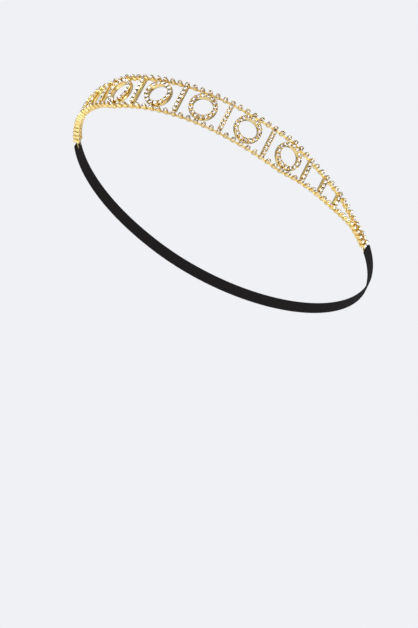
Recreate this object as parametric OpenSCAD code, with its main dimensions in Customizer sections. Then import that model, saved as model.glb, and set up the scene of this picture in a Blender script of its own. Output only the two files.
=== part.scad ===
// Crystal headband: two cup-chain rails with five crystal rings and ten crystal bars
// held between them, closed round the back of the head by a flat black elastic.
// The band lies level: +Z is up, -Y is the forehead side and +X is the wearer's left.
// The origin is the middle of the space that the head fills.

/* [Loop on the head] */
// Radius of the arc over the forehead
front_r = 65; // [60:0.1:70]
// Radius of the two side arcs
side_r = 102; // [98:0.1:108]
// Radius of the arc behind the head
back_r = 74.5; // [72:0.1:78]
// Half of the angle that the forehead arc covers
front_half_angle = 40.1; // [36:0.1:42]
// Length round the head from the middle of the forehead to the band's middle cups, 0 when worn straight
turned = 30; // [0:0.5:40]

/* [Cup chain] */
// Distance from one cup of a rail to the next
cup_pitch = 4; // [3.8:0.05:4.2]
// Cups on each side of the middle one
cups_each_side = 30; // [27:1:31]
// Outer diameter of a cup, and width of the rings' and bars' channels
cup_d = 2.4; // [2.3:0.05:2.5]
// Depth of the rails' cups, from the head outwards
cup_h = 3.4; // [3:0.1:3.6]
// Depth of the rings and bars, whose fronts are level with the cups' fronts
channel_h = 2.9; // [2.4:0.1:3]
// How far the backs of the cups lie inside the oval that the arcs above give
set_in = 1; // [0.6:0.1:1.2]
// Width of the tab that joins two cups
link_w = 1.1; // [0.8:0.1:1.3]
// Thickness of the tab that joins two cups
link_t = 0.6; // [0.4:0.1:0.8]

/* [Crystals] */
// Diameter of a crystal at its girdle
crystal_d = 2; // [1.8:0.05:2]
// Share of the crystal's diameter that its flat table takes
table_share = 0.58; // [0.5:0.01:0.65]
// Height of the crown above the girdle
crown_h = 0.45; // [0.3:0.05:0.5]
// Depth of the pointed back below the girdle
pavilion_h = 0.65; // [0.5:0.05:0.65]
// Facets round the crown, and as many round the back
facets = 8; // [8:1:10]

/* [Rings and bars] */
// Cups from the middle to the second ring, and from there to the third
ring_step = 6; // [6:1:6]
// Crystals in each ring
ring_crystals = 15; // [13:1:15]
// Distance between the crystals of a bar that is filled as close as it goes
bar_pitch = 2.3; // [2.25:0.05:2.4]

/* [Elastic] */
// Width of the elastic
elastic_w = 6; // [5:0.5:8]
// Thickness of the elastic
elastic_t = 0.8; // [0.6:0.1:1]
// Length of the tabs that the elastic's ends are glued on, past the last cups
tab_len = 6; // [4:0.5:8]
// Length of bare tab between the last cups and the elastic
bare_tab = 2.6; // [2:0.1:3]
// Size of the corner taken off the elastic's upper edge at each end
corner_cut = 1.5; // [1:0.1:2]

/* [Fit] */
// Gap left between neighbouring pieces
gap = 0.1; // [0.1:0.01:0.15]
// Gap round a crystal in its seat
seat_gap = 0.05; // [0.05:0.01:0.1]

/* [Hidden] */
$fn = 48;

gold = [0.86, 0.69, 0.31];
clear_crystal = [0.86, 0.86, 0.92];
elastic_black = [0.1, 0.09, 0.09];

// The oval: four arcs that meet without a kink, mirrored across the YZ plane.
back_half_angle = asin((side_r - front_r) * sin(front_half_angle) / (side_r - back_r));
front_len = front_r * front_half_angle * PI / 180;
side_angle = 180 - front_half_angle - back_half_angle;
side_len = side_r * side_angle * PI / 180;
side_centre_x = -(side_r - front_r) * sin(front_half_angle);
side_from_front = (side_r - front_r) * cos(front_half_angle);
back_from_front = side_from_front + (side_r - back_r) * cos(back_half_angle);
oval_half_len = (front_r + back_from_front + back_r) / 2;
front_centre_y = front_r - oval_half_len;
side_centre_y = front_centre_y + side_from_front;
back_centre_y = front_centre_y + back_from_front;
half_loop = front_len + side_len + back_r * back_half_angle * PI / 180;

// Half of the distance between the rails' centre lines, by cup number from the middle.
narrowest = (cup_d + gap) / 2;
rail_heights = [
    // [cup, half distance]
    [0, 8.5], [12, 8.5], [15, 6.3], [18, 5], [21, 4], [24, 2.2], [26, narrowest], [31, narrowest]
];

ring_out_r = rail_half(0) - cup_d / 2 - gap;
ring_mid_r = ring_out_r - cup_d / 2;
ring_cups = [for (k = [-2 : 2]) k * ring_step];
bar_cups = [-21, -18, -15, -9, -3, 3, 9, 15, 18, 21];

channel_back = cup_h - channel_h;
seat_d = crystal_d + 2 * seat_gap;
girdle_below_rim = 0.25;
girdle_z = cup_h - girdle_below_rim;
culet_z = girdle_z - pavilion_h;
seat_depth = cup_h - culet_z + seat_gap;

rail_end = cup_pitch * cups_each_side + cup_d / 2;
// How far the tabs between the cups, and those at the ends, lie in front of the cups' backs.
link_in = 0.1;
tab_in = 1.1;
elastic_in = tab_in + link_t + 1.5 * gap;
elastic_start = rail_end + bare_tab;
elastic_steps = 96;

function rail_half(cup) = lookup(abs(cup), rail_heights);

// Direction in which the band faces at arc length s from the middle of the forehead.
function facing(s) = sign(s) * (
    abs(s) < front_len ? abs(s) / front_r * 180 / PI
    : abs(s) < front_len + side_len ? front_half_angle + (abs(s) - front_len) / side_r * 180 / PI
    : 180 - back_half_angle + (abs(s) - front_len - side_len) / back_r * 180 / PI
);

// Point at arc length s, moved out from the line that the backs of the cups lie on.
function oval_point(s, out = 0) =
    let (arc = abs(s) < front_len ? 0 : abs(s) < front_len + side_len ? 1 : 2, turn = facing(s))
    let (r = [front_r, side_r, back_r][arc] - set_in + out)
    let (centre_x = arc == 1 ? sign(s) * side_centre_x : 0)
    let (centre_y = [front_centre_y, side_centre_y, back_centre_y][arc])
    [centre_x + r * sin(turn), centre_y - r * cos(turn)];

// Stands the children where the band's back lies, at length s from its middle cups towards the
// wearer's left: their Z faces away from the head and their Y points up.
module on_band(s, height = 0) {
    point = oval_point(s + turned);
    translate([point[0], point[1], height]) rotate([90, 0, facing(s + turned)]) children();
}

// One cut crystal with its culet at culet_z: table, crown facets and a pointed back.
module crystal() {
    crown = [for (k = [0 : facets - 1]) 360 * (k + 0.5) / facets];
    girdle_r = crystal_d / 2;
    table_r = girdle_r * table_share;
    points = concat(
        [for (a = crown) [girdle_r * cos(a), girdle_r * sin(a), girdle_z]],
        [for (a = crown) [table_r * cos(a), table_r * sin(a), girdle_z + crown_h]],
        [[0, 0, culet_z]]
    );
    table_face = [[for (k = [facets - 1 : -1 : 0]) facets + k]];
    crown_faces = [for (k = [0 : facets - 1]) let (n = (k + 1) % facets) [k, facets + k, facets + n, n]];
    back_faces = [for (k = [0 : facets - 1]) [k, (k + 1) % facets, 2 * facets]];
    polyhedron(points, concat(table_face, crown_faces, back_faces));
}

// Blind round seat for one crystal, open at the front of a cup or channel.
module seat() {
    translate([0, 0, cup_h - seat_depth]) cylinder(d = seat_d, h = seat_depth + 1);
}

// One cup of a rail.
module cup() {
    difference() {
        cylinder(d = cup_d, h = cup_h);
        seat();
    }
}

// Tab at the back of the rail from one cup to the next.
module link(cup_number, side) {
    s = cup_pitch * (cup_number + 0.5);
    from = rail_half(cup_number);
    to = rail_half(cup_number + 1);
    slope = side * atan2(to - from, cup_pitch);
    reach = cup_pitch / cos(slope) - cup_d / 2;
    on_band(s, side * (from + to) / 2)
        rotate([0, 0, slope])
            translate([-reach / 2, -link_w / 2, link_in]) cube([reach, link_w, link_t]);
}

// Tab at one end of a rail, with a round tip, that the elastic is glued on.
module end_tab(end, side) {
    root = cup_d / 4;
    length = cup_d / 2 - root + tab_len - link_w / 2;
    on_band(end * (rail_end + tab_len / 2), side * narrowest)
        translate([-end * (tab_len / 2 + cup_d / 2 - root), 0, tab_in]) {
            translate([end > 0 ? 0 : -length, -link_w / 2, 0]) cube([length, link_w, link_t]);
            translate([end * length, 0, 0]) cylinder(d = link_w, h = link_t);
        }
}

module rail(side) {
    color(gold) {
        for (i = [-cups_each_side : cups_each_side]) on_band(cup_pitch * i, side * rail_half(i)) cup();
        for (i = [-cups_each_side : cups_each_side - 1]) link(i, side);
        for (end = [-1, 1]) end_tab(end, side);
    }
}

module rail_crystals(side) {
    color(clear_crystal)
        for (i = [-cups_each_side : cups_each_side]) on_band(cup_pitch * i, side * rail_half(i)) crystal();
}

// Carries the children to each crystal of a ring that stands round the origin.
module round_ring() {
    for (k = [0 : ring_crystals - 1])
        rotate([0, 0, 90 + 360 * k / ring_crystals]) translate([ring_mid_r, 0, 0]) children();
}

module ring(number) {
    color(gold)
        on_band(cup_pitch * ring_cups[number - 1])
            difference() {
                translate([0, 0, channel_back]) cylinder(r = ring_out_r, h = channel_h, $fn = 96);
                translate([0, 0, -1]) cylinder(r = ring_out_r - cup_d, h = cup_h + 2, $fn = 96);
                round_ring() seat();
            }
}

module ring_crystal_set(number) {
    color(clear_crystal) on_band(cup_pitch * ring_cups[number - 1]) round_ring() crystal();
}

function bar_len(number) = 2 * (rail_half(bar_cups[number - 1]) - cup_d / 2 - gap);
function bar_count(number) = floor(bar_len(number) / bar_pitch);

// Carries the children to each crystal of a bar that stands across the origin.
module along_bar(number) {
    count = bar_count(number);
    step = bar_len(number) / count;
    for (k = [0 : count - 1]) translate([0, (k - (count - 1) / 2) * step, 0]) children();
}

module bar(number) {
    color(gold)
        on_band(cup_pitch * bar_cups[number - 1])
            difference() {
                translate([-cup_d / 2, -bar_len(number) / 2, channel_back])
                    cube([cup_d, bar_len(number), channel_h]);
                along_bar(number) seat();
            }
}

module bar_crystal_set(number) {
    color(clear_crystal) on_band(cup_pitch * bar_cups[number - 1]) along_bar(number) crystal();
}

// The piece that is missing from the elastic's upper corner at one end.
module corner_waste(end) {
    on_band(end * elastic_start)
        translate([0, elastic_w / 2, 0])
            linear_extrude(2 * (elastic_in + elastic_t))
                polygon([[-end, 1], [-end, -corner_cut - 1], [end * (corner_cut + 1), 1]]);
}

// The elastic runs from the tabs on one side round the back of the head to those on the other.
module elastic_band() {
    run = 2 * (half_loop - elastic_start);
    steps = [for (k = [0 : elastic_steps]) turned + elastic_start + run * k / elastic_steps];
    around = [for (s = steps) s > half_loop ? s - 2 * half_loop : s];
    outer = [for (s = around) oval_point(s, elastic_in + elastic_t)];
    inner = [for (k = [len(around) - 1 : -1 : 0]) oval_point(around[k], elastic_in)];
    color(elastic_black)
        difference() {
            translate([0, 0, -elastic_w / 2]) linear_extrude(elastic_w) polygon(concat(outer, inner));
            for (end = [-1, 1]) corner_waste(end);
        }
}

rail(1);  // upper_rail
rail(-1);  // lower_rail
rail_crystals(1);  // upper_rail_crystals
rail_crystals(-1);  // lower_rail_crystals
for (n = [1 : 5]) {
    ring(n);
    ring_crystal_set(n);
}
for (n = [1 : 10]) {
    bar(n);
    bar_crystal_set(n);
}
elastic_band();
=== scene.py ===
"""Looks of a crystal headband: cup-chain rails, rings and bars set with crystals, and a flat elastic.

The band lies level in its frame, as a loop in its worn form. The front is at -Y, the wearer's left at +X,
and the origin is the middle of the loop. Lengths are in metres.
"""

import logging
import math
import random
from dataclasses import dataclass, field
from enum import Enum

import bmesh
import bpy
from mathutils import Matrix, Vector


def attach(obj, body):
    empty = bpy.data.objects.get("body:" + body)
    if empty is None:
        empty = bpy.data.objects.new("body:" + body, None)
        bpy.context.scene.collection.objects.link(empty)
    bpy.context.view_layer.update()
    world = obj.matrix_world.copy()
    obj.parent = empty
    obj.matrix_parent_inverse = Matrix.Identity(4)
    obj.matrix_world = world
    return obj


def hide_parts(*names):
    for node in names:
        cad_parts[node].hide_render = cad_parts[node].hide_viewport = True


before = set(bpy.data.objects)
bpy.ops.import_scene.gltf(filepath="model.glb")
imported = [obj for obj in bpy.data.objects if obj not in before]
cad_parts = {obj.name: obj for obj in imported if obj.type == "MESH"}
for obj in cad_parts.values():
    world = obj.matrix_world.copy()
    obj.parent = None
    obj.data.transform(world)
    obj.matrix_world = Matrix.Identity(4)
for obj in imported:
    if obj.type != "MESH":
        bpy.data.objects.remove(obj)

Colour = tuple[float, float, float]
Pair = tuple[float, float]

MM = 0.001
BODY = "root"
# face attribute with the painted brightness of each facet of a crystal's foil: low values paint a dark
# reflection on that facet
PAINTED_FLASH = "painted_flash"
# the same painted brightness for the stones of the rails, in turn round the back: more of their facets carry
# a painted dark reflection
RAIL_PAINTED_FLASHES = (0.0, 0.0, 0.2, 0.6, 0.9, 0.9, 0.9, 0.8, 0.35, 0.5, 0.8, 0.9, 0.9, 0.8, 0.5, 0.2)
# angle above which an edge of the metal stays sharp
METAL_CREASE = math.radians(38)
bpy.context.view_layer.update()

RINGS = 5
BARS = 10

log = logging.getLogger("headband")


class Side(Enum):
    """The two rails, by the sign of their height."""

    UPPER = 1
    LOWER = -1


@dataclass(frozen=True)
class WornLoop:
    """The oval that the band follows: four arcs that meet without a kink.

    Args:
        front_r: radius of the front arc.
        side_r: radius of the two side arcs.
        back_r: radius of the back arc.
        front_angle: half of the angle of the front arc, in radians.
        turned: length round the loop from the middle of its front to the band's middle cups.
        set_in: how far the backs of the cups lie inside the oval.
    """

    front_r: float = 65.0 * MM
    side_r: float = 102.0 * MM
    back_r: float = 74.5 * MM
    front_angle: float = math.radians(40.1)
    turned: float = 30.0 * MM
    set_in: float = 1.0 * MM

    @property
    def back_angle(self) -> float:
        """Half of the angle of the back arc."""
        aside = (self.side_r - self.front_r) * math.sin(self.front_angle)
        return math.asin(aside / (self.side_r - self.back_r))

    @property
    def side_angle(self) -> float:
        """Angle of a side arc."""
        return math.pi - self.front_angle - self.back_angle

    @property
    def front_len(self) -> float:
        """Length of half of the front arc."""
        return self.front_r * self.front_angle

    @property
    def side_len(self) -> float:
        """Length of a side arc."""
        return self.side_r * self.side_angle

    @property
    def centres(self) -> tuple[Vector, Vector, Vector]:
        """Centres of three of the arcs.

        Returns:
            The centres of the front arc, the arc on the wearer's left and the back arc.
        """
        rise = (self.side_r - self.front_r) * math.cos(self.front_angle)
        back = rise + (self.side_r - self.back_r) * math.cos(self.back_angle)
        front_y = self.front_r - (self.front_r + back + self.back_r) / 2
        side_x = -(self.side_r - self.front_r) * math.sin(self.front_angle)
        return Vector((0, front_y, 0)), Vector((side_x, front_y + rise, 0)), Vector((0, front_y + back, 0))

    def facing(self, s: float) -> float:
        """Angle that the band faces at arc length s from the middle of the front.

        Args:
            s: arc length, positive towards the wearer's left.

        Returns:
            The angle from -Y, in radians, positive towards +X.
        """
        run = abs(s)
        if run < self.front_len:
            turn = run / self.front_r
        elif run < self.front_len + self.side_len:
            turn = self.front_angle + (run - self.front_len) / self.side_r
        else:
            turn = math.pi - self.back_angle + (run - self.front_len - self.side_len) / self.back_r
        return math.copysign(turn, s)

    def point(self, s: float, out: float = 0.0) -> Vector:
        """Point of the line that the cups' backs lie on, moved outwards.

        Args:
            s: arc length from the middle of the front, positive towards the wearer's left.
            out: distance outside that line.

        Returns:
            The point, at height 0.
        """
        front, left, back = self.centres
        run = abs(s)
        if run < self.front_len:
            centre, r = front, self.front_r
        elif run < self.front_len + self.side_len:
            centre, r = Vector((left.x if s > 0 else -left.x, left.y, 0)), self.side_r
        else:
            centre, r = back, self.back_r
        turn = self.facing(s)
        return centre + Vector((math.sin(turn), -math.cos(turn), 0)) * (r - self.set_in + out)

    def stand(self, s: float, height: float = 0.0) -> Matrix:
        """Frame of a piece that stands on the band.

        Args:
            s: length from the band's middle cups to the piece, positive towards the wearer's left.
            height: height of the piece's middle.

        Returns:
            A matrix whose X runs along the band, Y points up and Z faces outwards.
        """
        at = s + self.turned
        place = Matrix.Translation(self.point(at) + Vector((0, 0, height)))
        return place @ Matrix.Rotation(self.facing(at), 4, "Z") @ Matrix.Rotation(math.pi / 2, 4, "X")


def between(table: tuple[Pair, ...], at: float) -> float:
    """Reads a value from a table, in a straight line between its rows.

    Args:
        table: places in rising order, and the values there.
        at: the place.

    Returns:
        The value, which is the last row's past the table's end.
    """
    for (p0, v0), (p1, v1) in zip(table, table[1:]):
        if p0 <= at <= p1:
            return v0 + (v1 - v0) * (at - p0) / (p1 - p0)
    return table[-1][1]


@dataclass(frozen=True)
class CupChain:
    """Sizes that the rails, rings and bars share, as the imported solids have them.

    Args:
        pitch: distance from one cup of a rail to the next.
        each_side: cups of a rail on each side of the middle one.
        cup_r: radius of a cup, and half the width of a ring's or bar's channel.
        back_z: height of the rings' and bars' backs above the cups' backs.
        rim_z: height of the cups' rim, that the claws rise from.
        low_rim_z: height of the rings' and bars' rim.
        floor_z: height of the seats' floor.
        link_w: width of the tab between two cups.
        link_t: thickness of that tab.
        link_in: distance of that tab in front of the cups' backs.
        tab_in: the same distance for the tabs at the rail's ends.
        tab_round: width of the bevel on a tab's edges.
        sheet: thickness of the wall round a seat.
        lip_in: how far the rim's highest line lies in from the wall's widest.
        lip_drop: how far the rim falls from there to the seat.
        gap: gap between neighbouring pieces.
        wall: share of the rim's height, and how far the wall lies in from its widest there.
        heights: cup number from the middle, and half the distance between the rails there.
    """

    pitch: float = 4.0 * MM
    each_side: int = 30
    cup_r: float = 1.2 * MM
    back_z: float = 0.5 * MM
    rim_z: float = 3.42 * MM
    low_rim_z: float = 3.2 * MM
    floor_z: float = 2.48 * MM
    link_w: float = 1.1 * MM
    link_t: float = 0.6 * MM
    link_in: float = 0.1 * MM
    tab_in: float = 1.1 * MM
    tab_round: float = 0.12 * MM
    sheet: float = 0.17 * MM
    lip_in: float = 0.15 * MM
    lip_drop: float = 0.04 * MM
    gap: float = 0.1 * MM
    wall: tuple[Pair, ...] = (
        (0.0, 0.34 * MM),
        (0.08, 0.2 * MM),
        (0.22, 0.08 * MM),
        (0.45, 0.0),
        (0.65, 0.01 * MM),
        (0.82, 0.05 * MM),
        (0.97, 0.12 * MM),
    )
    heights: tuple[Pair, ...] = (
        (0, 8.5 * MM),
        (12, 8.5 * MM),
        (15, 6.3 * MM),
        (18, 5.0 * MM),
        (21, 4.0 * MM),
        (24, 2.2 * MM),
        (26, 1.25 * MM),
        (31, 1.25 * MM),
    )

    @property
    def rail_end(self) -> float:
        """Arc length of the outer wall of a rail's last cup."""
        return self.pitch * self.each_side + self.cup_r

    def half(self, cup: float) -> float:
        """Half the distance between the rails at a cup, whose number counts from the middle one."""
        return between(self.heights, abs(cup))

    def inset(self, z: float) -> float:
        """How far a bar's wall lies in from its widest, at a height z above the cups' backs."""
        return between(self.wall, (z - self.back_z) / (self.low_rim_z - self.back_z))

    def wall_profile(self, edge: float, back: float, rim: float, out: int = 1) -> list[Pair]:
        """Profile of a round wall, from its back over the rim and down to the seat's floor.

        Args:
            edge: radius where the wall is widest.
            back: height of its back.
            rim: height of its rim.
            out: 1 for an outer wall, -1 for an inner one.

        Returns:
            Radii and heights.
        """
        profile = [(edge - out * inset, back + share * (rim - back)) for share, inset in self.wall]
        profile.append((edge - out * self.lip_in, rim))
        profile.append((edge - out * self.sheet, rim - self.lip_drop))
        profile.append((edge - out * self.sheet, self.floor_z))
        return profile


LOOP = WornLoop()
CHAIN = CupChain()


def spread(
    tree: bpy.types.NodeTree, value: bpy.types.NodeSocket, source: Pair, target: Pair
) -> bpy.types.NodeSocket:
    """Adds a node that spreads a value from one range over another.

    Args:
        tree: tree that takes the node.
        value: output with the value.
        source: range of the value.
        target: range that it is spread over.

    Returns:
        The output with the result.
    """
    node = tree.nodes.new("ShaderNodeMapRange")
    node.inputs["From Min"].default_value, node.inputs["From Max"].default_value = source
    node.inputs["To Min"].default_value, node.inputs["To Max"].default_value = target
    tree.links.new(value, node.inputs["Value"])
    return node.outputs["Result"]


class Shader:
    """A node material in the making.

    The patterns lie mostly between 0.3 and 0.7, so that is the range that they are spread from.
    """

    def __init__(self, name: str) -> None:
        """Starts an empty material.

        Args:
            name: name of the material.
        """
        self.material = bpy.data.materials.new(name)
        self.material.use_nodes = True
        self.tree = self.material.node_tree
        self.tree.nodes.clear()
        self.bsdf = self.add("ShaderNodeBsdfPrincipled")
        output = self.add("ShaderNodeOutputMaterial")
        self.join(self.bsdf, "BSDF", output, "Surface")

    def add(self, kind: str, **values: object) -> bpy.types.Node:
        """Adds a node.

        Args:
            kind: the node's type.
            values: input sockets to set, with spaces written as underscores.

        Returns:
            The new node.
        """
        node = self.tree.nodes.new(kind)
        for key, value in values.items():
            node.inputs[key.replace("_", " ")].default_value = value
        return node

    def join(self, source: bpy.types.Node, out: str, target: bpy.types.Node, into: str) -> None:
        """Links the output out of the node source to the input into of the node target."""
        self.tree.links.new(source.outputs[out], target.inputs[into])

    def set(self, **values: object) -> None:
        """Sets the surface shader's own sockets, whose spaces are written as underscores."""
        for key, value in values.items():
            self.bsdf.inputs[key.replace("_", " ")].default_value = value

    def noise(self, size: float, detail: float) -> bpy.types.Node:
        """Adds a noise pattern on the piece's Object coordinates.

        Args:
            size: size of the pattern's patches, in metres.
            detail: octaves of finer pattern.

        Returns:
            The noise node.
        """
        where = self.add("ShaderNodeTexCoord")
        pattern = self.add("ShaderNodeTexNoise", Scale=1 / size, Detail=detail)
        self.join(where, "Object", pattern, "Vector")
        return pattern

    def ranged(self, source: bpy.types.Node, out: str, low: float, high: float, into: str) -> None:
        """Feeds a pattern, spread over a range, to the surface shader.

        Args:
            source: node with the pattern.
            out: its output.
            low: value where the pattern is weak.
            high: value where the pattern is strong.
            into: input of the surface shader.
        """
        result = spread(self.tree, source.outputs[out], (0.3, 0.7), (low, high))
        self.tree.links.new(result, self.bsdf.inputs[into])

    def tinted(self, source: bpy.types.Node, out: str, first: Colour, second: Colour) -> None:
        """Feeds a blend of two colours to the surface shader.

        Args:
            source: node with the pattern that picks the colour.
            out: its output.
            first: colour where the pattern is weak.
            second: colour where the pattern is strong.
        """
        ramp = self.add("ShaderNodeValToRGB")
        for stop, position, colour in zip(ramp.color_ramp.elements, (0.35, 0.65), (first, second)):
            stop.position = position
            stop.color = (*colour, 1)
        self.join(source, out, ramp, "Fac")
        self.join(ramp, "Color", self.bsdf, "Base Color")

    def bumped(self, source: bpy.types.Node, out: str, height: float, strength: float) -> None:
        """Gives the surface a relief.

        Args:
            source: node with the relief's pattern.
            out: its output.
            height: height of the relief, in metres.
            strength: how much of it shows.
        """
        bump = self.add("ShaderNodeBump", Strength=strength, Distance=height)
        self.join(source, out, bump, "Height")
        self.join(bump, "Normal", self.bsdf, "Normal")


@dataclass(frozen=True)
class GoldPlate:
    """Bright yellow gold plate over cast and rolled brass.

    Args:
        deep: colour of the plate where it is thicker.
        pale: colour of the plate where it is thinner.
        smooth: lowest roughness.
        dull: highest roughness.
        patch: size of the patches of deep and pale plate.
        grain: size of the grain of the surface.
        relief: height of the grain.
    """

    deep: Colour = (0.66, 0.475, 0.15)
    pale: Colour = (0.84, 0.67, 0.31)
    smooth: float = 0.06
    dull: float = 0.18
    patch: float = 1.6 * MM
    grain: float = 0.45 * MM
    relief: float = 0.02 * MM

    def material(self) -> bpy.types.Material:
        """Makes the material.

        Returns:
            The material, whose patterns read Object coordinates.
        """
        shader = Shader("gold_plate")
        shader.set(Metallic=1.0)
        patches = shader.noise(self.patch, 3)
        shader.tinted(patches, "Fac", self.deep, self.pale)
        grain = shader.noise(self.grain, 3)
        shader.ranged(grain, "Fac", self.smooth, self.dull, "Roughness")
        shader.bumped(grain, "Fac", self.relief, 0.15)
        return shader.material


@dataclass(frozen=True)
class ClearCrystal:
    """Clear cut glass, seen from the crown.

    Args:
        tint: colour of the glass.
        index: its index of refraction.
        polish: size of the patches that are polished a little better or worse.
        dull: highest roughness.
    """

    tint: Colour = (1.0, 0.98, 0.96)
    index: float = 1.62
    polish: float = 0.9 * MM
    dull: float = 0.05

    def material(self) -> bpy.types.Material:
        """Makes the material.

        Returns:
            The material, whose patterns read Object coordinates.
        """
        shader = Shader("clear_crystal")
        shader.set(Base_Color=(*self.tint, 1), IOR=self.index, Transmission_Weight=1.0)
        haze = shader.noise(self.polish, 2)
        shader.ranged(haze, "Fac", 0.0, self.dull, "Roughness")
        return shader.material


@dataclass(frozen=True)
class SilverFoil:
    """The mirror foil on the back of a crystal, some of whose facets carry a painted dark reflection.

    Args:
        bright: the foil's own colour, on the facets whose painted brightness is high.
        dark: painted dark reflection, the colour of the facets whose painted brightness is low.
        wrinkle: size of the foil's wrinkles.
        smooth: lowest roughness.
        dull: highest roughness.
    """

    bright: Colour = (0.94, 0.91, 0.87)
    dark: Colour = (0.24, 0.2, 0.175)
    wrinkle: float = 0.4 * MM
    smooth: float = 0.05
    dull: float = 0.15

    def material(self) -> bpy.types.Material:
        """Makes the material.

        Returns:
            The material, whose patterns read Object coordinates.
        """
        shader = Shader("silver_foil_and_painted_reflection")
        shader.set(Metallic=1.0)
        # each facet's painted brightness picks between the foil's own colour and a painted dark reflection
        facet = shader.add("ShaderNodeAttribute")
        facet.attribute_name = PAINTED_FLASH
        shader.tinted(facet, "Fac", self.dark, self.bright)
        wrinkles = shader.noise(self.wrinkle, 2)
        shader.ranged(wrinkles, "Fac", self.smooth, self.dull, "Roughness")
        return shader.material


@dataclass(frozen=True)
class WovenElastic:
    """Black flat elastic: matt threads over rubber, read from the piece's own UV map in metres.

    Args:
        dark: painted shade in the grooves between the ribs.
        light: painted highlight on the tops of the ribs.
        thread: spacing of the threads along the elastic.
        rib: spacing of the ribs across it.
        relief: height of the threads.
    """

    dark: Colour = (0.001, 0.0008, 0.0008)
    light: Colour = (0.008, 0.0062, 0.006)
    thread: float = 0.45 * MM
    rib: float = 6.0 * MM / 9
    relief: float = 0.08 * MM

    def material(self) -> bpy.types.Material:
        """Makes the material, whose waves lie a twentieth of a full turn over their scale apart.

        Returns:
            The material, whose patterns read the piece's UV map.
        """
        shader = Shader("woven_elastic_and_painted_shade")
        shader.set(Roughness=0.8, Specular_IOR_Level=0.12, Sheen_Weight=0.01, Sheen_Roughness=0.4)
        where = shader.add("ShaderNodeTexCoord")
        weave = shader.add("ShaderNodeTexWave", Scale=math.tau / 20 / self.thread, Distortion=1.2, Detail=1.0)
        ribs = shader.add("ShaderNodeTexWave", Scale=math.tau / 20 / self.rib, Distortion=0.6)
        ribs.bands_direction = "Y"
        ribs.inputs["Phase Offset"].default_value = math.pi
        for pattern in (weave, ribs):
            shader.join(where, "UV", pattern, "Vector")
        # painted shade in the grooves between the ribs and a painted highlight on their tops, in step with
        # the ribs of the elastic's shape
        shader.tinted(ribs, "Fac", self.dark, self.light)
        shader.bumped(weave, "Fac", self.relief, 0.6)
        return shader.material


def stamp(target: bmesh.types.BMesh, shape: bpy.types.Mesh, place: Matrix) -> None:
    """Adds a copy of a finished shape to a mesh in the making.

    Args:
        target: mesh that takes the copy.
        shape: the shape to copy.
        place: where the copy goes.
    """
    copy = shape.copy()
    copy.transform(place)
    target.from_mesh(copy)
    bpy.data.meshes.remove(copy)


def kept(name: str, bm: bmesh.types.BMesh) -> bpy.types.Mesh:
    """Turns a bmesh into a mesh that is stamped later, and frees it.

    Args:
        name: name of the mesh.
        bm: the mesh in the making.

    Returns:
        The finished mesh.
    """
    mesh = bpy.data.meshes.new(name)
    bm.to_mesh(mesh)
    bm.free()
    return mesh


def ring_of(bm: bmesh.types.BMesh, count: int, r: float, z: float, turn: float = 0.0) -> None:
    """Adds vertices evenly round the Z axis.

    Args:
        bm: mesh that takes them.
        count: how many.
        r: distance from the axis.
        z: height.
        turn: share of one step that the first one is turned by.
    """
    for k in range(count):
        angle = math.tau * (k + turn) / count
        bm.verts.new((r * math.cos(angle), r * math.sin(angle), z))


def spun(bm: bmesh.types.BMesh, profile: list[Pair], steps: int, closed: bool, turn: float = 0.0) -> None:
    """Spins a profile of radii and heights fully round the Z axis.

    Args:
        bm: mesh that takes the shape.
        profile: distances from the axis and heights.
        steps: steps of the spin.
        closed: whether the profile's last point joins its first.
        turn: angle of the profile's plane.
    """
    corners = [bm.verts.new((r * math.cos(turn), r * math.sin(turn), z)) for r, z in profile]
    pairs = list(zip(corners, corners[1:])) + ([(corners[-1], corners[0])] if closed else [])
    edges = [bm.edges.new(pair) for pair in pairs]
    bmesh.ops.spin(
        bm, geom=corners + edges, cent=(0, 0, 0), axis=(0, 0, 1), angle=math.tau, steps=steps, use_merge=True
    )
    bmesh.ops.remove_doubles(bm, verts=bm.verts[:], dist=0.001 * MM)


def boxed(bm: bmesh.types.BMesh, low: Vector, high: Vector, rounding: float = 0.0) -> None:
    """Adds a box.

    Args:
        bm: mesh that takes it.
        low: its lowest corner.
        high: its highest corner.
        rounding: width of the bevel on its edges, or 0 for none.
    """
    size = high - low
    place = Matrix.Translation((low + high) / 2) @ Matrix.Diagonal((*size, 1))
    made = bmesh.ops.create_cube(bm, size=1.0, matrix=place)["verts"]
    if rounding:
        edges = list({edge for vert in made for edge in vert.link_edges})
        bmesh.ops.bevel(bm, geom=edges, offset=rounding, affect="EDGES", segments=1, profile=0.5, material=-1)


def shown(
    name: str, bm: bmesh.types.BMesh, finishes: list[bpy.types.Material], node: str, crease: float
) -> None:
    """Makes the visible piece that stands for a solid.

    Args:
        name: name of the piece.
        bm: its mesh, which is freed.
        finishes: its materials, by material index.
        node: the solid that it stands for.
        crease: angle above which an edge stays sharp, in radians, or 0 where every edge does.
    """
    mesh = kept(name, bm)
    for finish in finishes:
        mesh.materials.append(finish)
    mesh.polygons.foreach_set("use_smooth", [crease > 0] * len(mesh.polygons))
    if crease > 0:
        mesh.set_sharp_from_angle(angle=crease)
    piece = bpy.data.objects.new(name, mesh)
    bpy.context.scene.collection.objects.link(piece)
    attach(piece, BODY)
    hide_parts(node)
    log.info("%s: %d faces", name, len(mesh.polygons))


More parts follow.
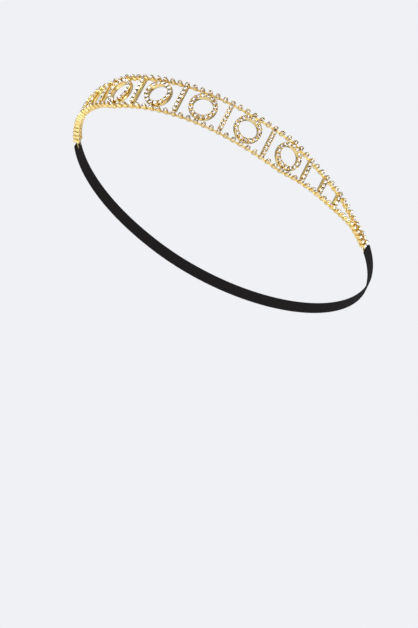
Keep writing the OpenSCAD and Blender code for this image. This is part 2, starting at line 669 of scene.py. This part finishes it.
@dataclass(frozen=True)
class CutStone:
    """A round brilliant: a table, star, kite and girdle facets, and a pointed foiled back.

    Args:
        sides: main facets round the stone.
        r: radius at the girdle.
        kite_share: radius of the kite facets' lower corners, as a share of the girdle's.
        table_r: radius of the table's corners.
        table_z: height of the table.
        girdle_top: height where the crown begins.
        girdle_low: height where the back begins.
        culet_z: height of the point at the back.
        foil_index: material index of the back.
        painted_flashes: painted brightness of the back's facets in turn, from 0 to 1; low values paint a dark
            reflection on a facet.
    """

    sides: int = 8
    r: float = 1.02 * MM
    kite_share: float = 0.8
    table_r: float = 0.58 * MM
    table_z: float = 3.6 * MM
    girdle_top: float = 3.19 * MM
    girdle_low: float = 3.12 * MM
    culet_z: float = 2.52 * MM
    foil_index: int = 1
    # the back's facets in the directions with low values carry a painted dark reflection
    painted_flashes: tuple[float, ...] = (0.0, 0.0, 0.3) + 5 * (1.0,) + (0.8,) + 7 * (1.0,)

    def mesh(self) -> bpy.types.Mesh:
        """Cuts the stone.

        Returns:
            The stone's mesh, with its axis on Z.
        """
        bm = bmesh.new()
        kite_r = self.kite_share * self.r
        slope = (self.table_z - self.girdle_top) / (self.r - self.table_r)
        kite_z = self.table_z - slope * (kite_r * math.cos(math.pi / self.sides) - self.table_r)
        ring_of(bm, self.sides, self.table_r, self.table_z)
        ring_of(bm, self.sides, kite_r, kite_z, turn=0.5)
        ring_of(bm, 2 * self.sides, self.r, self.girdle_top)
        ring_of(bm, 2 * self.sides, self.r, self.girdle_low)
        bm.verts.new((0, 0, self.culet_z))
        bmesh.ops.convex_hull(bm, input=bm.verts[:])
        # the hull's triangles that lie in one plane become one facet
        bmesh.ops.dissolve_limit(bm, angle_limit=math.radians(1.5), verts=bm.verts[:], edges=bm.edges[:])
        bmesh.ops.recalc_face_normals(bm, faces=bm.faces[:])
        # painted reflections: the back's facets take a painted brightness by their direction, and the crown's
        # stay fully bright
        painted_flash = bm.faces.layers.float.new(PAINTED_FLASH)
        for face in bm.faces:
            face[painted_flash] = 1.0
            if face.normal.z < -0.1:
                face.material_index = self.foil_index
                turn = math.atan2(face.normal.y, face.normal.x) % math.tau
                face[painted_flash] = self.painted_flashes[int(turn / math.tau * len(self.painted_flashes))]
        return kept("cut_stone", bm)


@dataclass(frozen=True)
class StampedCup:
    """A round cup pressed from sheet, with four claws bent in over its crystal.

    Args:
        sides: sides of the round wall.
        bends: rise, reach over the crystal and share of the width left, for each of a claw's two bends.
        dip: depth of the scallops between the claws.
        flat: share of a quarter's swing that stays level at a claw.
        rim_depth: depth below the rim of what follows the scallops.
        claw_foot: how far a claw's foot reaches in from the wall's widest.
    """

    sides: int = 16
    bends: tuple[tuple[float, float, float], ...] = ((0.12 * MM, 0.05 * MM, 0.9), (0.1 * MM, 0.3 * MM, 0.6))
    dip: float = 0.16 * MM
    flat: float = 0.3
    rim_depth: float = 0.1 * MM
    claw_foot: float = 0.16 * MM

    def mesh(self) -> bpy.types.Mesh:
        """Presses the cup.

        Returns:
            The cup's mesh, with its axis on Z and its back at 0.
        """
        bm = bmesh.new()
        profile = CHAIN.wall_profile(CHAIN.cup_r, 0.0, CHAIN.rim_z)
        spun(bm, profile, self.sides, closed=False, turn=math.pi / self.sides)
        bmesh.ops.holes_fill(bm, edges=bm.edges[:], sides=0)
        bmesh.ops.recalc_face_normals(bm, faces=bm.faces[:])
        rim = [vert for vert in bm.verts if vert.co.z > CHAIN.rim_z - self.rim_depth]
        for vert in rim:
            share = abs(math.cos(2 * math.atan2(vert.co.y, vert.co.x)))
            vert.co.z -= self.dip * max(0.0, share - self.flat) / (1 - self.flat)
        self.bend_claws(bm)
        return kept("stamped_cup", bm)

    def bend_claws(self, bm: bmesh.types.BMesh) -> None:
        """Draws four claws out of the rim and bends them in.

        Args:
            bm: the cup in the making.
        """
        feet = [face for face in bm.faces if self.carries_claw(face)]
        claws = feet
        for rise, reach, width in self.bends:
            claws = bmesh.ops.extrude_face_region(bm, geom=claws)["geom"]
            corners = [item for item in claws if isinstance(item, bmesh.types.BMVert)]
            claws = [item for item in claws if isinstance(item, bmesh.types.BMFace)]
            for quarter in range(4):
                turn = math.pi / 4 + quarter * math.pi / 2
                axis = Vector((math.cos(turn), math.sin(turn), 0))
                # the corners of this quarter's claw lie within 37 degrees of its axis
                mine = [vert for vert in corners if vert.co.xy.normalized().dot(axis.xy) > 0.8]
                across = Vector((-axis.y, axis.x, 0))
                for vert in mine:
                    vert.co -= across * vert.co.dot(across) * (1 - width)
                bmesh.ops.translate(bm, verts=mine, vec=Vector((0, 0, rise)) - axis * reach)
        bmesh.ops.delete(bm, geom=[face for face in feet if face.is_valid], context="FACES_KEEP_BOUNDARY")

    def carries_claw(self, face: bmesh.types.BMFace) -> bool:
        """Whether a claw rises from a face.

        Args:
            face: a face of the cup.

        Returns:
            True for a face that looks up on the rim's outer half, near the middle of a quarter.
        """
        middle = face.calc_center_median()
        on_rim = face.normal.z > 0.3 and CHAIN.cup_r - self.claw_foot < middle.xy.length < CHAIN.cup_r
        return on_rim and abs(math.sin(2 * math.atan2(middle.y, middle.x))) > 0.9


class Sparkle:
    """Sets stones into a mesh, each turned by chance about its own axis and a little askew."""

    most_askew: float = 0.05

    def __init__(self, seed: int, stone: bpy.types.Mesh) -> None:
        """Starts an empty mesh.

        Args:
            seed: seed of the chance turns.
            stone: the stone that is set.
        """
        self.chance = random.Random(seed)
        self.stone = stone
        self.bm = bmesh.new()
        self.bm.faces.layers.float.new(PAINTED_FLASH)

    def set(self, place: Matrix) -> None:
        """Sets one stone.

        Args:
            place: frame of the stone's seat.
        """
        nod = Matrix.Rotation(self.chance.uniform(-self.most_askew, self.most_askew), 4, "X")
        lean = Matrix.Rotation(self.chance.uniform(-self.most_askew, self.most_askew), 4, "Y")
        turn = Matrix.Rotation(self.chance.uniform(0, math.tau), 4, "Z")
        middle = Matrix.Translation((0, 0, CHAIN.rim_z))
        stamp(self.bm, self.stone, place @ middle @ nod @ lean @ middle.inverted() @ turn)


@dataclass(frozen=True)
class Partition:
    """The wall between two neighbouring stones of a ring or bar, with a claw at each end.

    Args:
        half_thick: half of the wall's thickness.
        short: how far its ends stop short of the channel's widest.
        sunk: how far its foot lies in the channel's floor.
        below: how far its top lies under the rim.
        claw_in: how far a claw's middle lies in from the channel's widest.
        claw_up: height of a claw's middle above the rim.
        claw_size: half of a claw's length, width and height.
    """

    half_thick: float = 0.06 * MM
    short: float = 0.1 * MM
    sunk: float = 0.05 * MM
    below: float = 0.45 * MM
    claw_in: float = 0.26 * MM
    claw_up: float = 0.12 * MM
    claw_size: tuple[float, float, float] = (0.28 * MM, 0.21 * MM, 0.18 * MM)

    def mesh(self) -> bpy.types.Mesh:
        """Makes the wall and its claws.

        Returns:
            Their mesh, whose X runs across the channel.
        """
        bm = bmesh.new()
        half = CHAIN.cup_r - self.short
        low = Vector((-half, -self.half_thick, CHAIN.floor_z - self.sunk))
        high = Vector((half, self.half_thick, CHAIN.low_rim_z - self.below))
        boxed(bm, low, high)
        for end in (-1, 1):
            place = Vector((end * (CHAIN.cup_r - self.claw_in), 0, CHAIN.low_rim_z + self.claw_up))
            claw = Matrix.Translation(place) @ Matrix.Diagonal((*self.claw_size, 1))
            bmesh.ops.create_icosphere(bm, subdivisions=1, radius=1.0, matrix=claw)
        return kept("partition", bm)


@dataclass
class Workshop:
    """The finishes and the shapes that are stamped many times.

    Args:
        gold: the metal's material.
        crystal: the stones' materials, crown and back.
        elastic: the elastic's material.
        stone: the cut stone of rings and bars.
        rail_stone: the rails' stone, of which more facets carry a painted dark reflection.
        cup: the cup of a rail.
        partition: the wall between two stones of a ring or bar.
    """

    gold: bpy.types.Material = field(default_factory=lambda: GoldPlate().material())
    crystal: list[bpy.types.Material] = field(
        default_factory=lambda: [ClearCrystal().material(), SilverFoil().material()]
    )
    elastic: bpy.types.Material = field(default_factory=lambda: WovenElastic().material())
    stone: bpy.types.Mesh = field(default_factory=lambda: CutStone().mesh())
    rail_stone: bpy.types.Mesh = field(default_factory=lambda: CutStone(painted_flashes=RAIL_PAINTED_FLASHES).mesh())
    cup: bpy.types.Mesh = field(default_factory=lambda: StampedCup().mesh())
    partition: bpy.types.Mesh = field(default_factory=lambda: Partition().mesh())

    def finish(self, name: str, metal: bmesh.types.BMesh, stones: bmesh.types.BMesh) -> None:
        """Shows a piece of metal and its crystals.

        Args:
            name: name of the metal's solid.
            metal: its mesh.
            stones: the mesh of its crystals.
        """
        shown(f"{name}_metal", metal, [self.gold], name, METAL_CREASE)
        shown(f"{name}_stones", stones, self.crystal, f"{name}_crystals", 0)


@dataclass
class CupRail:
    """One rail of spaced cup chain with its tabs and crystals.

    Args:
        shop: finishes and stamped shapes.
        side: which of the two rails.
        tab_len: length of the tab past the last cup at each end.
        seed: seed of the stones' chance turns, to which the side's sign is added.
    """

    shop: Workshop
    side: Side
    tab_len: float = 6.0 * MM
    seed: int = 11

    @property
    def name(self) -> str:
        """Name of the rail's solid."""
        return f"{self.side.name.lower()}_rail"

    def cup_places(self) -> list[Matrix]:
        """Gives the frame of each cup, from the wearer's right to the left."""
        numbers = range(-CHAIN.each_side, CHAIN.each_side + 1)
        return [LOOP.stand(CHAIN.pitch * i, self.side.value * CHAIN.half(i)) for i in numbers]

    def add_link(self, bm: bmesh.types.BMesh, cup: int) -> None:
        """Adds the tab from one cup to the next.

        Args:
            bm: the rail in the making.
            cup: number of the first of the two cups.
        """
        here, there = CHAIN.half(cup), CHAIN.half(cup + 1)
        slope = self.side.value * math.atan2(there - here, CHAIN.pitch)
        reach = CHAIN.pitch / math.cos(slope) / 2 - CHAIN.cup_r / 2
        place = LOOP.stand(CHAIN.pitch * (cup + 0.5), self.side.value * (here + there) / 2)
        self.add_strip(bm, place @ Matrix.Rotation(slope, 4, "Z"), (-reach, reach), CHAIN.link_in)

    def add_end_tab(self, bm: bmesh.types.BMesh, end: int) -> None:
        """Adds the tab that carries the elastic at one end.

        Args:
            bm: the rail in the making.
            end: 1 for the wearer's left, -1 for the right.
        """
        place = LOOP.stand(end * (CHAIN.rail_end + self.tab_len / 2), self.side.value * CHAIN.heights[-1][1])
        near, far = end * (-self.tab_len / 2 - CHAIN.cup_r / 2), end * self.tab_len / 2
        self.add_strip(bm, place, (min(near, far), max(near, far)), CHAIN.tab_in)

    def add_strip(self, bm: bmesh.types.BMesh, place: Matrix, span: Pair, back: float) -> None:
        """Adds a flat strip of the rail's sheet.

        Args:
            bm: the rail in the making.
            place: frame of the strip, whose X runs along it.
            span: where it starts and ends on that X.
            back: height of its back above the cups' backs.
        """
        strip = bmesh.new()
        low = Vector((span[0], -CHAIN.link_w / 2, back))
        high = Vector((span[1], CHAIN.link_w / 2, back + CHAIN.link_t))
        boxed(strip, low, high, rounding=CHAIN.tab_round)
        stamp(bm, kept("strip", strip), place)

    def build(self) -> None:
        """Builds the rail and its crystals."""
        metal = bmesh.new()
        stones = Sparkle(self.seed + self.side.value, self.shop.rail_stone)
        for place in self.cup_places():
            stamp(metal, self.shop.cup, place)
            stones.set(place)
        for cup in range(-CHAIN.each_side, CHAIN.each_side):
            self.add_link(metal, cup)
        for end in (-1, 1):
            self.add_end_tab(metal, end)
        self.shop.finish(self.name, metal, stones.bm)


@dataclass
class CrystalRing:
    """A ring of close-set crystals in a round channel.

    Args:
        shop: finishes and stamped shapes.
        number: number of the ring, from the wearer's right.
        middle: number of the ring at the rails' middle cups.
        apart: cups of a rail from one ring to the next.
        count: crystals in the ring.
        steps: steps of the round channel.
        seed: seed of the stones' chance turns, to which the number is added.
    """

    shop: Workshop
    number: int
    middle: int = 3
    apart: int = 6
    count: int = 15
    steps: int = 60
    seed: int = 20

    @property
    def place(self) -> Matrix:
        """Frame of the ring."""
        return LOOP.stand(CHAIN.pitch * self.apart * (self.number - self.middle))

    @property
    def out_r(self) -> float:
        """Outer radius."""
        return CHAIN.half(0) - CHAIN.cup_r - CHAIN.gap

    def channel(self) -> bmesh.types.BMesh:
        """Turns the round channel that the crystals lie in.

        Returns:
            The channel, with its axis on Z.
        """
        bm = bmesh.new()
        outer = CHAIN.wall_profile(self.out_r, CHAIN.back_z, CHAIN.low_rim_z)
        inner = CHAIN.wall_profile(self.out_r - 2 * CHAIN.cup_r, CHAIN.back_z, CHAIN.low_rim_z, out=-1)
        spun(bm, outer + inner[::-1], self.steps, closed=True)
        bmesh.ops.recalc_face_normals(bm, faces=bm.faces[:])
        return bm

    def build(self) -> None:
        """Builds the ring and its crystals."""
        metal = self.channel()
        stones = Sparkle(self.seed + self.number, self.shop.stone)
        off_centre = Matrix.Translation((self.out_r - CHAIN.cup_r, 0, 0))
        for k in range(self.count):
            seat = Matrix.Rotation(math.pi / 2 + math.tau * k / self.count, 4, "Z")
            stones.set(self.place @ seat @ off_centre)
            past_seat = Matrix.Rotation(math.pi / 2 + math.tau * (k + 0.5) / self.count, 4, "Z")
            stamp(metal, self.shop.partition, past_seat @ off_centre)
        bmesh.ops.transform(metal, matrix=self.place, verts=metal.verts[:])
        self.shop.finish(f"ring_{self.number}", metal, stones.bm)


@dataclass
class CrystalBar:
    """A straight strip of close-set crystals between the rails.

    Args:
        shop: finishes and stamped shapes.
        number: number of the bar, from the wearer's right.
        closest: smallest distance between its crystals.
        rounding: width of the bevel on its edges.
        lip: width of the rim round the channel's mouth.
        cuts: rows of corners up each wall, between back and rim.
        cups: cup numbers that the bars stand at.
        seed: seed of the stones' chance turns, to which the number is added.
    """

    shop: Workshop
    number: int
    closest: float = 2.3 * MM
    rounding: float = 0.07 * MM
    lip: float = 0.05 * MM
    cuts: int = 5
    cups: tuple[int, ...] = (-21, -18, -15, -9, -3, 3, 9, 15, 18, 21)
    seed: int = 40

    @property
    def cup(self) -> int:
        """Number of the cups that the bar stands between."""
        return self.cups[self.number - 1]

    @property
    def length(self) -> float:
        """Length of the bar."""
        return 2 * (CHAIN.half(self.cup) - CHAIN.cup_r - CHAIN.gap)

    @property
    def count(self) -> int:
        """Crystals in the bar."""
        return math.floor(self.length / self.closest)

    def channel(self) -> bmesh.types.BMesh:
        """Folds the straight channel that the crystals lie in.

        Returns:
            The channel, along Y.
        """
        bm = bmesh.new()
        half = Vector((CHAIN.cup_r, self.length / 2, 0))
        back, rim = Vector((0, 0, CHAIN.back_z)), Vector((0, 0, CHAIN.low_rim_z))
        boxed(bm, back - half, rim + half, rounding=self.rounding)
        tall = CHAIN.rim_z / 2
        upright = [edge for edge in bm.edges if abs(edge.verts[0].co.z - edge.verts[1].co.z) > tall]
        bmesh.ops.subdivide_edges(bm, edges=upright, cuts=self.cuts, use_grid_fill=True)
        for vert in bm.verts:
            inset = CHAIN.inset(vert.co.z)
            vert.co.x -= math.copysign(inset, vert.co.x)
            vert.co.y -= math.copysign(inset, vert.co.y)
        top = max(bm.faces, key=lambda face: face.calc_center_median().z)
        bmesh.ops.inset_individual(bm, faces=[top], thickness=self.lip)
        floor = bmesh.ops.extrude_discrete_faces(bm, faces=[top])["faces"]
        down = Vector((0, 0, CHAIN.floor_z)) - rim
        bmesh.ops.translate(bm, verts=list({vert for face in floor for vert in face.verts}), vec=down)
        return bm

    def build(self) -> None:
        """Builds the bar and its crystals."""
        place = LOOP.stand(CHAIN.pitch * self.cup)
        metal = self.channel()
        stones = Sparkle(self.seed + self.number, self.shop.stone)
        step = self.length / self.count
        for k in range(self.count):
            stones.set(place @ Matrix.Translation((0, (k - (self.count - 1) / 2) * step, 0)))
        for k in range(1, self.count):
            stamp(metal, self.shop.partition, Matrix.Translation((0, k * step - self.length / 2, 0)))
        bmesh.ops.transform(metal, matrix=place, verts=metal.verts[:])
        self.shop.finish(f"bar_{self.number}", metal, stones.bm)


@dataclass
class FlatElastic:
    """The elastic that closes the loop at the back.

    Args:
        shop: finishes and stamped shapes.
        width: its width.
        thick: its thickness.
        inner: distance of its inner face outside the cups' backs.
        start: length from the band's middle cups to where it begins on each side.
        corner: size of the corner that is missing from its upper edge at each end.
        pinched: share of the height that is left between the rows of that corner.
        ribs: lengthwise ribs across its width.
        groove: depth of the grooves between the ribs.
        crease: angle above which an edge stays sharp.
    """

    shop: Workshop
    width: float = 6.0 * MM
    thick: float = 0.8 * MM
    inner: float = 1.85 * MM
    start: float = CHAIN.rail_end + 2.6 * MM
    corner: float = 1.5 * MM
    pinched: float = 0.2
    ribs: int = 9
    groove: float = 0.09 * MM
    crease: float = math.radians(50)

    def section(self) -> list[Pair]:
        """Draws the outline across the elastic.

        Returns:
            Distances outside the cups' backs, and heights.
        """
        outer = self.inner + self.thick
        steps = 2 * self.ribs
        levels = [-self.width / 2 + self.width * k / steps for k in range(steps + 1)]
        depths = [self.groove if k % 2 == 0 else 0.0 for k in range(steps + 1)]
        front = [(outer - depth, z) for z, depth in zip(levels, depths)]
        back = [(self.inner + depth, z) for z, depth in zip(levels, depths)]
        return front + back[::-1]

    def build(self) -> None:
        """Builds the elastic."""
        bm = bmesh.new()
        begin = LOOP.turned - self.start
        corners = [bm.verts.new(LOOP.point(begin, out) + Vector((0, 0, z))) for out, z in self.section()]
        edges = [bm.edges.new(pair) for pair in zip(corners, corners[1:] + corners[:1])]
        _, left, back = LOOP.centres
        right = Vector((-left.x, left.y, 0))
        end_turn = self.corner * 2 / LOOP.side_r
        side_end = math.pi - LOOP.back_angle
        right_turn, left_turn = (side_end - self.end_facing(end) - end_turn for end in (-1, 1))
        bm.faces.new(corners)
        geom = corners + edges
        # centre, turn and steps of each stretch, from the wearer's right end round to the left
        for centre, turn, steps in (
            (right, -end_turn, 6),
            (right, -right_turn, 30),
            (back, -2 * LOOP.back_angle, 48),
            (left, -left_turn, 12),
            (left, -end_turn, 6),
        ):
            made = bmesh.ops.spin(bm, geom=geom, cent=centre, axis=(0, 0, 1), angle=turn, steps=steps)
            geom = [item for item in made["geom_last"] if not isinstance(item, bmesh.types.BMFace)]
        last = [item for item in geom if isinstance(item, bmesh.types.BMEdge)]
        bmesh.ops.contextual_create(bm, geom=last)
        self.pinch(bm)
        bmesh.ops.recalc_face_normals(bm, faces=bm.faces[:])
        self.lay_map(bm)
        shown("elastic_strap", bm, [self.shop.elastic], "elastic_band", self.crease)

    def end_facing(self, end: float) -> float:
        """Angle from -Y that an end faces, without its sign. The wearer's left end is positive."""
        return abs(LOOP.facing(LOOP.turned + math.copysign(self.start, end)))

    def pinch(self, bm: bmesh.types.BMesh) -> None:
        """Slopes the upper corner at each end.

        Args:
            bm: the elastic in the making.
        """
        half = self.width / 2
        for vert in bm.verts:
            from_end = LOOP.side_r * (self.turn_of(vert.co) - self.end_facing(vert.co.x))
            limit = half - max(0.0, self.corner - max(from_end, 0.0))
            if vert.co.z > limit:
                vert.co.z = limit + (vert.co.z - half) * self.pinched

    def turn_of(self, point: Vector) -> float:
        """Angle from -Y that a point of a side stretch faces, without its sign."""
        left = LOOP.centres[1]
        return math.atan2(abs(point.x) - left.x, -(point.y - left.y))

    def length_at(self, point: Vector) -> float:
        """Gives the arc length of a point from the middle of the back.

        Args:
            point: the point.

        Returns:
            The length, positive towards the wearer's left.
        """
        back = LOOP.centres[2]
        turn = math.atan2(abs(point.x), point.y - back.y)
        run = LOOP.back_r * min(turn, LOOP.back_angle)
        if turn >= LOOP.back_angle:
            run += LOOP.side_r * (math.pi - LOOP.back_angle - self.turn_of(point))
        return math.copysign(run, point.x)

    def lay_map(self, bm: bmesh.types.BMesh) -> None:
        """Gives the elastic a flat map in metres: along it and across it.

        Args:
            bm: the elastic in the making.
        """
        layer = bm.loops.layers.uv.new("flat")
        for face in bm.faces:
            for loop in face.loops:
                loop[layer].uv = (self.length_at(loop.vert.co), loop.vert.co.z)


@dataclass(frozen=True)
class SoftLight:
    """A soft square light that points at the band.

    Args:
        name: name of the light.
        place: where it hangs.
        size: length of its side.
        power: its power in watts.
    """

    name: str
    place: tuple[float, float, float]
    size: float
    power: float

    def hang(self) -> None:
        """Adds the light to the scene."""
        data = bpy.data.lights.new(self.name, "AREA")
        data.size = self.size
        data.energy = self.power
        light = bpy.data.objects.new(self.name, data)
        light.location = self.place
        light.rotation_mode = "QUATERNION"
        light.rotation_quaternion = (-light.location).to_track_quat("-Z", "Y")
        bpy.context.scene.collection.objects.link(light)


@dataclass(frozen=True)
class Studio:
    """Camera, soft light and pale surroundings.

    Args:
        azimuth: direction of the camera from the front towards the wearer's left.
        elevation: angle of the camera above the band's plane.
        roll: turn of the camera about its own axis.
        distance: distance of the camera from the band's middle, along its axis.
        aside: how far the camera's axis passes to the left of the band's middle.
        below: how far it passes below the band's middle.
        focal: focal length on a sensor whose long side is 36 mm.
        floor_z: height of the floor.
        floor_half: half of the floor's side.
        paper: colour of the backdrop.
        room_low: light that comes from the lower part of the room.
        room_high: light that comes from its upper part.
        room_back: share of it that comes from behind the band.
        room_sides: strength of the light from the wearer's right and from the left.
        lights: the lights that hang in the room.
    """

    azimuth: float = math.radians(37.157)
    elevation: float = math.radians(-24.236)
    roll: float = math.radians(26.988)
    distance: float = 1.8
    aside: float = 6.054 * MM
    below: float = 56.439 * MM
    focal: float = 203.58 * MM
    floor_z: float = -0.9
    floor_half: float = 6.0
    paper: Colour = (0.873, 0.88, 0.913)
    room_low: Colour = (0.5, 0.49, 0.48)
    room_high: Colour = (0.85, 0.84, 0.84)
    room_back: float = 0.45
    room_sides: Pair = (0.7, 1.5)
    lights: tuple[SoftLight, ...] = (
        SoftLight("key", (1.17, -0.5, 1.1), 0.6, 9),
        SoftLight("fill", (-0.99, -1.04, 0.3), 0.7, 9),
        SoftLight("front", (0.9, -1.2, -0.5), 0.9, 8),
        SoftLight("low", (1.2, 0.6, -0.75), 0.3, 2),
    )

    def add_camera(self) -> None:
        """Sets the camera at the photograph's viewing angle."""
        data = bpy.data.cameras.new("camera")
        data.sensor_width = 36.0
        data.lens = self.focal / MM
        data.clip_start, data.clip_end = 0.05, 50.0
        camera = bpy.data.objects.new("camera", data)
        bpy.context.scene.collection.objects.link(camera)
        flat = math.cos(self.elevation)
        heading = math.sin(self.azimuth), -math.cos(self.azimuth)
        back = Vector((heading[0] * flat, heading[1] * flat, math.sin(self.elevation)))
        level = Vector((math.cos(self.azimuth), math.sin(self.azimuth), 0))
        upright = back.cross(level)
        right = level * math.cos(self.roll) + upright * math.sin(self.roll)
        up = back.cross(right)
        place = back * self.distance - right * self.aside - up * self.below
        camera.matrix_world = Matrix.Translation(place) @ Matrix((right, up, back)).transposed().to_4x4()
        bpy.context.scene.camera = camera

    def add_world(self) -> None:
        """Surrounds the band with pale paper, lit by a room that is darker below, behind and to the right."""
        world = bpy.data.worlds.new("paper")
        world.use_nodes = True
        tree = world.node_tree
        tree.nodes.clear()
        output = tree.nodes.new("ShaderNodeOutputWorld")
        seen = tree.nodes.new("ShaderNodeLightPath")
        choice = tree.nodes.new("ShaderNodeMixShader")
        paper = tree.nodes.new("ShaderNodeBackground")
        paper.inputs["Color"].default_value = (*self.paper, 1)
        room = tree.nodes.new("ShaderNodeBackground")
        ramp = tree.nodes.new("ShaderNodeValToRGB")
        ramp.color_ramp.elements[0].color = (*self.room_low, 1)
        ramp.color_ramp.elements[1].color = (*self.room_high, 1)
        where = tree.nodes.new("ShaderNodeTexCoord")
        axes = tree.nodes.new("ShaderNodeSeparateXYZ")
        tree.links.new(where.outputs["Generated"], axes.inputs["Vector"])
        height = spread(tree, axes.outputs["Z"], (-0.6, 0.9), (0.0, 1.0))
        tree.links.new(height, ramp.inputs["Fac"])
        share = tree.nodes.new("ShaderNodeMath")
        share.operation = "MULTIPLY"
        tree.links.new(spread(tree, axes.outputs["Y"], (-0.1, 0.75), (1.0, self.room_back)), share.inputs[0])
        tree.links.new(spread(tree, axes.outputs["X"], (-0.8, 0.8), self.room_sides), share.inputs[1])
        tree.links.new(share.outputs["Value"], room.inputs["Strength"])
        tree.links.new(ramp.outputs["Color"], room.inputs["Color"])
        tree.links.new(seen.outputs["Is Camera Ray"], choice.inputs["Fac"])
        tree.links.new(room.outputs["Background"], choice.inputs[1])
        tree.links.new(paper.outputs["Background"], choice.inputs[2])
        tree.links.new(choice.outputs["Shader"], output.inputs["Surface"])
        bpy.context.scene.world = world

    def add_floor(self) -> None:
        """Lays the pale floor."""
        bm = bmesh.new()
        place = Matrix.Translation((0, 0, self.floor_z))
        bmesh.ops.create_grid(bm, x_segments=1, y_segments=1, size=self.floor_half, matrix=place)
        mesh = kept("floor", bm)
        shader = Shader("floor_paper")
        paper = (*self.paper, 1)
        shader.set(Base_Color=paper, Roughness=0.9, Emission_Color=paper, Emission_Strength=0.35)
        mesh.materials.append(shader.material)
        floor = bpy.data.objects.new("floor", mesh)
        bpy.context.scene.collection.objects.link(floor)

    def build(self) -> None:
        """Builds the whole studio."""
        self.add_camera()
        self.add_world()
        self.add_floor()
        for light in self.lights:
            light.hang()
        bpy.context.scene.view_settings.view_transform = "Standard"


def main() -> None:
    """Builds the studio and then the band, piece by piece."""
    logging.basicConfig(level=logging.INFO, format="%(name)s: %(message)s")
    Studio().build()
    shop = Workshop()
    for side in Side:
        CupRail(shop, side).build()
    for number in range(1, RINGS + 1):
        CrystalRing(shop, number).build()
    for number in range(1, BARS + 1):
        CrystalBar(shop, number).build()
    FlatElastic(shop).build()


if __name__ == "__main__":
    main()
